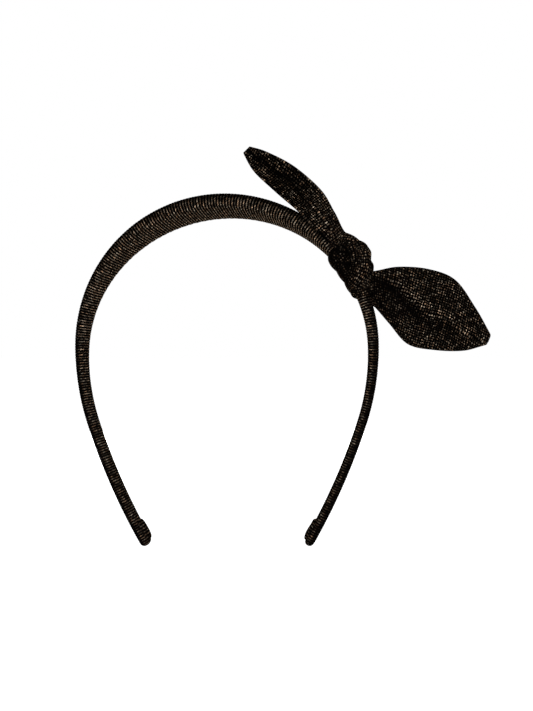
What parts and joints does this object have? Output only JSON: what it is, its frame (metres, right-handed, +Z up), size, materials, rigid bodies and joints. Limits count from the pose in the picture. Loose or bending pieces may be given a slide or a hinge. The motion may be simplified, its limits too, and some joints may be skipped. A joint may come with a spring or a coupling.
{
  "type": "knotted bow headband",
  "caption": "Padded arch headband covered in ribbed dotted cloth, with springy arms and a short sash knotted round its side as a bow.",
  "frame": {"origin": "middle of the band's inner face at the top of the arch, where it rests on the head", "axes": "+Z up as worn, +X towards the side that carries the bow, and the front of the band faces -Y"},
  "size_m": [0.1861, 0.03, 0.1782],
  "materials": {
    "spring_strip": "plain moulded black plastic strip, hidden inside",
    "foam": "soft grey upholstery foam, hidden inside",
    "band_cloth": "black ribbed knit with fine bronze metallic dots along each rib",
    "bow_cloth": "black cloth with a fine grid of bronze metallic dots",
    "stiffener": "white non-woven stiffener, hidden inside"
  },
  "bodies": {
    "crown": {"core_crown": "spring_strip", "pad_crown": "foam", "cover_crown": "band_cloth"},
    "left_arm": {"core_left_arm": "spring_strip", "pad_left_arm": "foam", "cover_left_arm": "band_cloth", "tip_fold_left": "band_cloth"},
    "right_arm": {"core_right_arm": "spring_strip", "pad_right_arm": "foam", "cover_right_arm": "band_cloth", "tip_fold_right": "band_cloth"},
    "bow_knot": {"knot_wrap": "bow_cloth", "knot_front_strap": "bow_cloth", "knot_outer_strap": "bow_cloth", "knot_back_neck": "bow_cloth"},
    "upper_tail": {"upper_tail_front": "bow_cloth", "upper_tail_stiffener": "stiffener", "upper_tail_back": "bow_cloth"},
    "lower_tail": {"lower_tail_front": "bow_cloth", "lower_tail_stiffener": "stiffener", "lower_tail_back": "bow_cloth"}
  },
  "joints": [
    {"name": "left_arm_flex", "type": "hinge", "parent": "crown", "child": "left_arm", "pos_m": [-0.068, 0, -0.06], "axis": [0, 1, 0], "range_deg": [0, 15], "stiffness_Nm_per_rad": 0.7},
    {"name": "right_arm_flex", "type": "hinge", "parent": "crown", "child": "right_arm", "pos_m": [0.068, 0, -0.06], "axis": [0, -1, 0], "range_deg": [0, 15], "stiffness_Nm_per_rad": 0.7},
    {"name": "bow_slide", "type": "hinge", "parent": "crown", "child": "bow_knot", "pos_m": [0, 0, -0.06], "axis": [0, 1, 0], "range_deg": [0, 12]},
    {"name": "upper_tail_flex", "type": "hinge", "parent": "bow_knot", "child": "upper_tail", "pos_m": [0.0486, -0.008, -0.0108], "axis": [0.4418, 0.7416, 0.5048], "range_deg": [0, 30], "stiffness_Nm_per_rad": 0.02},
    {"name": "lower_tail_flex", "type": "hinge", "parent": "bow_knot", "child": "lower_tail", "pos_m": [0.0666, 0.0055, -0.0331], "axis": [-0.023, 0.1861, -0.9823], "range_deg": [-30, 30], "stiffness_Nm_per_rad": 0.02}
  ]
}
